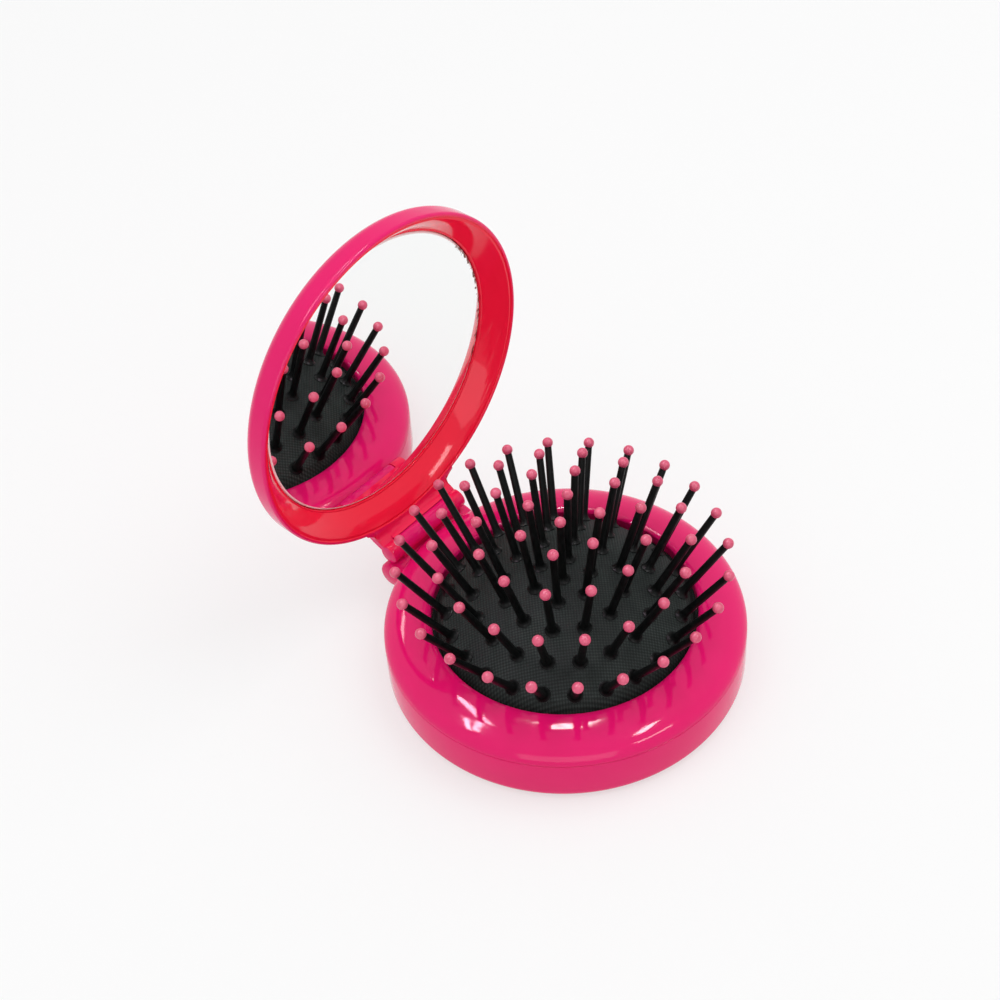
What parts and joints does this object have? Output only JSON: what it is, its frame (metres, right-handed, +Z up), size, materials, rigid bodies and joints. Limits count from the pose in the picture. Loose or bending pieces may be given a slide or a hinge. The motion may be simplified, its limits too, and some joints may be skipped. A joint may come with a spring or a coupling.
{
  "type": "folding hairbrush with mirror",
  "caption": "Round folding pocket hairbrush in pink plastic with ball-tipped pins on a black rubber cushion and a mirror lid that stands open.",
  "frame": {"origin": "centre of the finger hole at the base's bottom face", "axes": "+Z up from the bottom face, +Y towards the lid's hinge, +X along the hinge axis, to the right seen from the front"},
  "size_m": [0.07, 0.0827, 0.0834],
  "materials": {
    "pink_plastic": "glossy",
    "pad_rubber": "matte",
    "pin_plastic": "satin",
    "mirror": "polished",
    "tape": "matte",
    "steel": "satin"
  },
  "bodies": {
    "base": {"base_shell": "pink_plastic", "base_ring": "pink_plastic", "bristle_pad": "pad_rubber", "pad_clamp_ring": "pink_plastic", "hinge_pin": "steel"},
    "lid": {"lid_shell": "pink_plastic", "mirror": "mirror", "mirror_tape": "tape"},
    "button": {"push_button": "pink_plastic", "pins_centre": "pin_plastic"},
    "pins_ring2_1": {"pins_ring2_1": "pin_plastic"},
    "pins_ring2_2": {"pins_ring2_2": "pin_plastic"},
    "pins_ring2_3": {"pins_ring2_3": "pin_plastic"},
    "pins_ring2_4": {"pins_ring2_4": "pin_plastic"},
    "pins_ring2_5": {"pins_ring2_5": "pin_plastic"},
    "pins_ring2_6": {"pins_ring2_6": "pin_plastic"},
    "pin_ring3_01": {"pin_ring3_01": "pin_plastic"},
    "pin_ring3_02": {"pin_ring3_02": "pin_plastic"},
    "pin_ring3_03": {"pin_ring3_03": "pin_plastic"},
    "pin_ring3_04": {"pin_ring3_04": "pin_plastic"},
    "pin_ring3_05": {"pin_ring3_05": "pin_plastic"},
    "pin_ring3_06": {"pin_ring3_06": "pin_plastic"},
    "pin_ring3_07": {"pin_ring3_07": "pin_plastic"},
    "pin_ring3_08": {"pin_ring3_08": "pin_plastic"},
    "pin_ring3_09": {"pin_ring3_09": "pin_plastic"},
    "pin_ring3_10": {"pin_ring3_10": "pin_plastic"},
    "pin_ring3_11": {"pin_ring3_11": "pin_plastic"},
    "pin_ring3_12": {"pin_ring3_12": "pin_plastic"},
    "pin_ring3_13": {"pin_ring3_13": "pin_plastic"},
    "pin_ring3_14": {"pin_ring3_14": "pin_plastic"},
    "pin_ring3_15": {"pin_ring3_15": "pin_plastic"},
    "pin_ring3_16": {"pin_ring3_16": "pin_plastic"},
    "pin_ring3_17": {"pin_ring3_17": "pin_plastic"},
    "pin_ring3_18": {"pin_ring3_18": "pin_plastic"},
    "pin_ring4_01": {"pin_ring4_01": "pin_plastic"},
    "pin_ring4_02": {"pin_ring4_02": "pin_plastic"},
    "pin_ring4_03": {"pin_ring4_03": "pin_plastic"},
    "pin_ring4_04": {"pin_ring4_04": "pin_plastic"},
    "pin_ring4_05": {"pin_ring4_05": "pin_plastic"},
    "pin_ring4_06": {"pin_ring4_06": "pin_plastic"},
    "pin_ring4_07": {"pin_ring4_07": "pin_plastic"},
    "pin_ring4_08": {"pin_ring4_08": "pin_plastic"},
    "pin_ring4_09": {"pin_ring4_09": "pin_plastic"},
    "pin_ring4_10": {"pin_ring4_10": "pin_plastic"},
    "pin_ring4_11": {"pin_ring4_11": "pin_plastic"},
    "pin_ring4_12": {"pin_ring4_12": "pin_plastic"},
    "pin_ring4_13": {"pin_ring4_13": "pin_plastic"},
    "pin_ring4_14": {"pin_ring4_14": "pin_plastic"},
    "pin_ring4_15": {"pin_ring4_15": "pin_plastic"},
    "pin_ring4_16": {"pin_ring4_16": "pin_plastic"},
    "pin_ring4_17": {"pin_ring4_17": "pin_plastic"},
    "pin_ring4_18": {"pin_ring4_18": "pin_plastic"},
    "pin_ring4_19": {"pin_ring4_19": "pin_plastic"},
    "pin_ring4_20": {"pin_ring4_20": "pin_plastic"},
    "pin_ring4_21": {"pin_ring4_21": "pin_plastic"},
    "pin_ring4_22": {"pin_ring4_22": "pin_plastic"},
    "pin_ring4_23": {"pin_ring4_23": "pin_plastic"},
    "pin_ring4_24": {"pin_ring4_24": "pin_plastic"}
  },
  "joints": [
    {"name": "lid_hinge", "type": "hinge", "parent": "base", "child": "lid", "pos_m": [0, 0.03678, 0.0123], "axis": [1, 0, 0], "range_deg": [0, 90]},
    {"name": "button_slide", "type": "slide", "parent": "base", "child": "button", "axis": [0, 0, 1], "range_m": [-0.0185, 0], "deforming": ["bristle_pad"]},
    {"name": "pins_ring2_1_tilt", "type": "hinge", "parent": "base", "child": "pins_ring2_1", "pos_m": [-0.03888, 0.03888, 0.01148], "axis": [-0.7071, -0.7071, 0], "range_deg": [-21.5, 0]},
    {"name": "pins_ring2_2_tilt", "type": "hinge", "parent": "base", "child": "pins_ring2_2", "pos_m": [-0.05311, -0.01423, 0.01148], "axis": [0.2588, -0.9659, 0], "range_deg": [-21.5, 0]},
    {"name": "pins_ring2_3_tilt", "type": "hinge", "parent": "base", "child": "pins_ring2_3", "pos_m": [-0.01423, -0.05311, 0.01148], "axis": [0.9659, -0.2588, 0], "range_deg": [-21.5, 0]},
    {"name": "pins_ring2_4_tilt", "type": "hinge", "parent": "base", "child": "pins_ring2_4", "pos_m": [0.03888, -0.03888, 0.01148], "axis": [0.7071, 0.7071, 0], "range_deg": [-21.5, 0]},
    {"name": "pins_ring2_5_tilt", "type": "hinge", "parent": "base", "child": "pins_ring2_5", "pos_m": [0.05311, 0.01423, 0.01148], "axis": [-0.2588, 0.9659, 0], "range_deg": [-21.5, 0]},
    {"name": "pins_ring2_6_tilt", "type": "hinge", "parent": "base", "child": "pins_ring2_6", "pos_m": [0.01423, 0.05311, 0.01148], "axis": [-0.9659, 0.2588, 0], "range_deg": [-21.5, 0]},
    {"name": "pin_ring3_01_tilt", "type": "hinge", "parent": "base", "child": "pin_ring3_01", "pos_m": [-0.01187, 0.03261, 0.01068], "axis": [-0.9397, -0.342, 0], "range_deg": [-42.9, 0]},
    {"name": "pin_ring3_02_tilt", "type": "hinge", "parent": "base", "child": "pin_ring3_02", "pos_m": [-0.02231, 0.02658, 0.01068], "axis": [-0.766, -0.6428, 0], "range_deg": [-42.9, 0]},
    {"name": "pin_ring3_03_tilt", "type": "hinge", "parent": "base", "child": "pin_ring3_03", "pos_m": [-0.03005, 0.01735, 0.01068], "axis": [-0.5, -0.866, 0], "range_deg": [-42.9, 0]},
    {"name": "pin_ring3_04_tilt", "type": "hinge", "parent": "base", "child": "pin_ring3_04", "pos_m": [-0.03418, 0.00603, 0.01068], "axis": [-0.1736, -0.9848, 0], "range_deg": [-42.9, 0]},
    {"name": "pin_ring3_05_tilt", "type": "hinge", "parent": "base", "child": "pin_ring3_05", "pos_m": [-0.03418, -0.00603, 0.01068], "axis": [0.1736, -0.9848, 0], "range_deg": [-42.9, 0]},
    {"name": "pin_ring3_06_tilt", "type": "hinge", "parent": "base", "child": "pin_ring3_06", "pos_m": [-0.03005, -0.01735, 0.01068], "axis": [0.5, -0.866, 0], "range_deg": [-42.9, 0]},
    {"name": "pin_ring3_07_tilt", "type": "hinge", "parent": "base", "child": "pin_ring3_07", "pos_m": [-0.02231, -0.02658, 0.01068], "axis": [0.766, -0.6428, 0], "range_deg": [-42.9, 0]},
    {"name": "pin_ring3_08_tilt", "type": "hinge", "parent": "base", "child": "pin_ring3_08", "pos_m": [-0.01187, -0.03261, 0.01068], "axis": [0.9397, -0.342, 0], "range_deg": [-42.9, 0]},
    {"name": "pin_ring3_09_tilt", "type": "hinge", "parent": "base", "child": "pin_ring3_09", "pos_m": [0, -0.0347, 0.01068], "axis": [1, 0, 0], "range_deg": [-42.9, 0]},
    {"name": "pin_ring3_10_tilt", "type": "hinge", "parent": "base", "child": "pin_ring3_10", "pos_m": [0.01187, -0.03261, 0.01068], "axis": [0.9397, 0.342, 0], "range_deg": [-42.9, 0]},
    {"name": "pin_ring3_11_tilt", "type": "hinge", "parent": "base", "child": "pin_ring3_11", "pos_m": [0.02231, -0.02658, 0.01068], "axis": [0.766, 0.6428, 0], "range_deg": [-42.9, 0]},
    {"name": "pin_ring3_12_tilt", "type": "hinge", "parent": "base", "child": "pin_ring3_12", "pos_m": [0.03005, -0.01735, 0.01068], "axis": [0.5, 0.866, 0], "range_deg": [-42.9, 0]},
    {"name": "pin_ring3_13_tilt", "type": "hinge", "parent": "base", "child": "pin_ring3_13", "pos_m": [0.03418, -0.00603, 0.01068], "axis": [0.1736, 0.9848, 0], "range_deg": [-42.9, 0]},
    {"name": "pin_ring3_14_tilt", "type": "hinge", "parent": "base", "child": "pin_ring3_14", "pos_m": [0.03418, 0.00603, 0.01068], "axis": [-0.1736, 0.9848, 0], "range_deg": [-42.9, 0]},
    {"name": "pin_ring3_15_tilt", "type": "hinge", "parent": "base", "child": "pin_ring3_15", "pos_m": [0.03005, 0.01735, 0.01068], "axis": [-0.5, 0.866, 0], "range_deg": [-42.9, 0]},
    {"name": "pin_ring3_16_tilt", "type": "hinge", "parent": "base", "child": "pin_ring3_16", "pos_m": [0.02231, 0.02658, 0.01068], "axis": [-0.766, 0.6428, 0], "range_deg": [-42.9, 0]},
    {"name": "pin_ring3_17_tilt", "type": "hinge", "parent": "base", "child": "pin_ring3_17", "pos_m": [0.01187, 0.03261, 0.01068], "axis": [-0.9397, 0.342, 0], "range_deg": [-42.9, 0]},
    {"name": "pin_ring3_18_tilt", "type": "hinge", "parent": "base", "child": "pin_ring3_18", "pos_m": [0, 0.0347, 0.01068], "axis": [-1, 0, 0], "range_deg": [-42.9, 0]},
    {"name": "pin_ring4_01_tilt", "type": "hinge", "parent": "base", "child": "pin_ring4_01", "pos_m": [-0.00786, 0.02934, 0.00958], "axis": [-0.9659, -0.2588, 0], "range_deg": [-62.1, 0]},
    {"name": "pin_ring4_02_tilt", "type": "hinge", "parent": "base", "child": "pin_ring4_02", "pos_m": [-0.01519, 0.0263, 0.00958], "axis": [-0.866, -0.5, 0], "range_deg": [-62.1, 0]},
    {"name": "pin_ring4_03_tilt", "type": "hinge", "parent": "base", "child": "pin_ring4_03", "pos_m": [-0.02148, 0.02148, 0.00958], "axis": [-0.7071, -0.7071, 0], "range_deg": [-62.1, 0]},
    {"name": "pin_ring4_04_tilt", "type": "hinge", "parent": "base", "child": "pin_ring4_04", "pos_m": [-0.0263, 0.01519, 0.00958], "axis": [-0.5, -0.866, 0], "range_deg": [-62.1, 0]},
    {"name": "pin_ring4_05_tilt", "type": "hinge", "parent": "base", "child": "pin_ring4_05", "pos_m": [-0.02934, 0.00786, 0.00958], "axis": [-0.2588, -0.9659, 0], "range_deg": [-62.1, 0]},
    {"name": "pin_ring4_06_tilt", "type": "hinge", "parent": "base", "child": "pin_ring4_06", "pos_m": [-0.03037, 0, 0.00958], "axis": [0, -1, 0], "range_deg": [-62.1, 0]},
    {"name": "pin_ring4_07_tilt", "type": "hinge", "parent": "base", "child": "pin_ring4_07", "pos_m": [-0.02934, -0.00786, 0.00958], "axis": [0.2588, -0.9659, 0], "range_deg": [-62.1, 0]},
    {"name": "pin_ring4_08_tilt", "type": "hinge", "parent": "base", "child": "pin_ring4_08", "pos_m": [-0.0263, -0.01519, 0.00958], "axis": [0.5, -0.866, 0], "range_deg": [-62.1, 0]},
    {"name": "pin_ring4_09_tilt", "type": "hinge", "parent": "base", "child": "pin_ring4_09", "pos_m": [-0.02148, -0.02148, 0.00958], "axis": [0.7071, -0.7071, 0], "range_deg": [-62.1, 0]},
    {"name": "pin_ring4_10_tilt", "type": "hinge", "parent": "base", "child": "pin_ring4_10", "pos_m": [-0.01519, -0.0263, 0.00958], "axis": [0.866, -0.5, 0], "range_deg": [-62.1, 0]},
    {"name": "pin_ring4_11_tilt", "type": "hinge", "parent": "base", "child": "pin_ring4_11", "pos_m": [-0.00786, -0.02934, 0.00958], "axis": [0.9659, -0.2588, 0], "range_deg": [-62.1, 0]},
    {"name": "pin_ring4_12_tilt", "type": "hinge", "parent": "base", "child": "pin_ring4_12", "pos_m": [0, -0.03037, 0.00958], "axis": [1, 0, 0], "range_deg": [-62.1, 0]},
    {"name": "pin_ring4_13_tilt", "type": "hinge", "parent": "base", "child": "pin_ring4_13", "pos_m": [0.00786, -0.02934, 0.00958], "axis": [0.9659, 0.2588, 0], "range_deg": [-62.1, 0]},
    {"name": "pin_ring4_14_tilt", "type": "hinge", "parent": "base", "child": "pin_ring4_14", "pos_m": [0.01519, -0.0263, 0.00958], "axis": [0.866, 0.5, 0], "range_deg": [-62.1, 0]},
    {"name": "pin_ring4_15_tilt", "type": "hinge", "parent": "base", "child": "pin_ring4_15", "pos_m": [0.02148, -0.02148, 0.00958], "axis": [0.7071, 0.7071, 0], "range_deg": [-62.1, 0]},
    {"name": "pin_ring4_16_tilt", "type": "hinge", "parent": "base", "child": "pin_ring4_16", "pos_m": [0.0263, -0.01519, 0.00958], "axis": [0.5, 0.866, 0], "range_deg": [-62.1, 0]},
    {"name": "pin_ring4_17_tilt", "type": "hinge", "parent": "base", "child": "pin_ring4_17", "pos_m": [0.02934, -0.00786, 0.00958], "axis": [0.2588, 0.9659, 0], "range_deg": [-62.1, 0]},
    {"name": "pin_ring4_18_tilt", "type": "hinge", "parent": "base", "child": "pin_ring4_18", "pos_m": [0.03037, 0, 0.00958], "axis": [0, 1, 0], "range_deg": [-62.1, 0]},
    {"name": "pin_ring4_19_tilt", "type": "hinge", "parent": "base", "child": "pin_ring4_19", "pos_m": [0.02934, 0.00786, 0.00958], "axis": [-0.2588, 0.9659, 0], "range_deg": [-62.1, 0]},
    {"name": "pin_ring4_20_tilt", "type": "hinge", "parent": "base", "child": "pin_ring4_20", "pos_m": [0.0263, 0.01519, 0.00958], "axis": [-0.5, 0.866, 0], "range_deg": [-62.1, 0]},
    {"name": "pin_ring4_21_tilt", "type": "hinge", "parent": "base", "child": "pin_ring4_21", "pos_m": [0.02148, 0.02148, 0.00958], "axis": [-0.7071, 0.7071, 0], "range_deg": [-62.1, 0]},
    {"name": "pin_ring4_22_tilt", "type": "hinge", "parent": "base", "child": "pin_ring4_22", "pos_m": [0.01519, 0.0263, 0.00958], "axis": [-0.866, 0.5, 0], "range_deg": [-62.1, 0]},
    {"name": "pin_ring4_23_tilt", "type": "hinge", "parent": "base", "child": "pin_ring4_23", "pos_m": [0.00786, 0.02934, 0.00958], "axis": [-0.9659, 0.2588, 0], "range_deg": [-62.1, 0]},
    {"name": "pin_ring4_24_tilt", "type": "hinge", "parent": "base", "child": "pin_ring4_24", "pos_m": [0, 0.03037, 0.00958], "axis": [-1, 0, 0], "range_deg": [-62.1, 0]}
  ],
  "couplings": [
    {"joint": "button_slide", "follows": "lid_hinge", "m_per_rad": -0.011777},
    {"joint": "pins_ring2_1_tilt", "follows": "lid_hinge", "ratio": -0.23889},
    {"joint": "pins_ring2_2_tilt", "follows": "lid_hinge", "ratio": -0.23889},
    {"joint": "pins_ring2_3_tilt", "follows": "lid_hinge", "ratio": -0.23889},
    {"joint": "pins_ring2_4_tilt", "follows": "lid_hinge", "ratio": -0.23889},
    {"joint": "pins_ring2_5_tilt", "follows": "lid_hinge", "ratio": -0.23889},
    {"joint": "pins_ring2_6_tilt", "follows": "lid_hinge", "ratio": -0.23889},
    {"joint": "pin_ring3_01_tilt", "follows": "lid_hinge", "ratio": -0.47667},
    {"joint": "pin_ring3_02_tilt", "follows": "lid_hinge", "ratio": -0.47667},
    {"joint": "pin_ring3_03_tilt", "follows": "lid_hinge", "ratio": -0.47667},
    {"joint": "pin_ring3_04_tilt", "follows": "lid_hinge", "ratio": -0.47667},
    {"joint": "pin_ring3_05_tilt", "follows": "lid_hinge", "ratio": -0.47667},
    {"joint": "pin_ring3_06_tilt", "follows": "lid_hinge", "ratio": -0.47667},
    {"joint": "pin_ring3_07_tilt", "follows": "lid_hinge", "ratio": -0.47667},
    {"joint": "pin_ring3_08_tilt", "follows": "lid_hinge", "ratio": -0.47667},
    {"joint": "pin_ring3_09_tilt", "follows": "lid_hinge", "ratio": -0.47667},
    {"joint": "pin_ring3_10_tilt", "follows": "lid_hinge", "ratio": -0.47667},
    {"joint": "pin_ring3_11_tilt", "follows": "lid_hinge", "ratio": -0.47667},
    {"joint": "pin_ring3_12_tilt", "follows": "lid_hinge", "ratio": -0.47667},
    {"joint": "pin_ring3_13_tilt", "follows": "lid_hinge", "ratio": -0.47667},
    {"joint": "pin_ring3_14_tilt", "follows": "lid_hinge", "ratio": -0.47667},
    {"joint": "pin_ring3_15_tilt", "follows": "lid_hinge", "ratio": -0.47667},
    {"joint": "pin_ring3_16_tilt", "follows": "lid_hinge", "ratio": -0.47667},
    {"joint": "pin_ring3_17_tilt", "follows": "lid_hinge", "ratio": -0.47667},
    {"joint": "pin_ring3_18_tilt", "follows": "lid_hinge", "ratio": -0.47667},
    {"joint": "pin_ring4_01_tilt", "follows": "lid_hinge", "ratio": -0.69},
    {"joint": "pin_ring4_02_tilt", "follows": "lid_hinge", "ratio": -0.69},
    {"joint": "pin_ring4_03_tilt", "follows": "lid_hinge", "ratio": -0.69},
    {"joint": "pin_ring4_04_tilt", "follows": "lid_hinge", "ratio": -0.69},
    {"joint": "pin_ring4_05_tilt", "follows": "lid_hinge", "ratio": -0.69},
    {"joint": "pin_ring4_06_tilt", "follows": "lid_hinge", "ratio": -0.69},
    {"joint": "pin_ring4_07_tilt", "follows": "lid_hinge", "ratio": -0.69},
    {"joint": "pin_ring4_08_tilt", "follows": "lid_hinge", "ratio": -0.69},
    {"joint": "pin_ring4_09_tilt", "follows": "lid_hinge", "ratio": -0.69},
    {"joint": "pin_ring4_10_tilt", "follows": "lid_hinge", "ratio": -0.69},
    {"joint": "pin_ring4_11_tilt", "follows": "lid_hinge", "ratio": -0.69},
    {"joint": "pin_ring4_12_tilt", "follows": "lid_hinge", "ratio": -0.69},
    {"joint": "pin_ring4_13_tilt", "follows": "lid_hinge", "ratio": -0.69},
    {"joint": "pin_ring4_14_tilt", "follows": "lid_hinge", "ratio": -0.69},
    {"joint": "pin_ring4_15_tilt", "follows": "lid_hinge", "ratio": -0.69},
    {"joint": "pin_ring4_16_tilt", "follows": "lid_hinge", "ratio": -0.69},
    {"joint": "pin_ring4_17_tilt", "follows": "lid_hinge", "ratio": -0.69},
    {"joint": "pin_ring4_18_tilt", "follows": "lid_hinge", "ratio": -0.69},
    {"joint": "pin_ring4_19_tilt", "follows": "lid_hinge", "ratio": -0.69},
    {"joint": "pin_ring4_20_tilt", "follows": "lid_hinge", "ratio": -0.69},
    {"joint": "pin_ring4_21_tilt", "follows": "lid_hinge", "ratio": -0.69},
    {"joint": "pin_ring4_22_tilt", "follows": "lid_hinge", "ratio": -0.69},
    {"joint": "pin_ring4_23_tilt", "follows": "lid_hinge", "ratio": -0.69},
    {"joint": "pin_ring4_24_tilt", "follows": "lid_hinge", "ratio": -0.69}
  ]
}
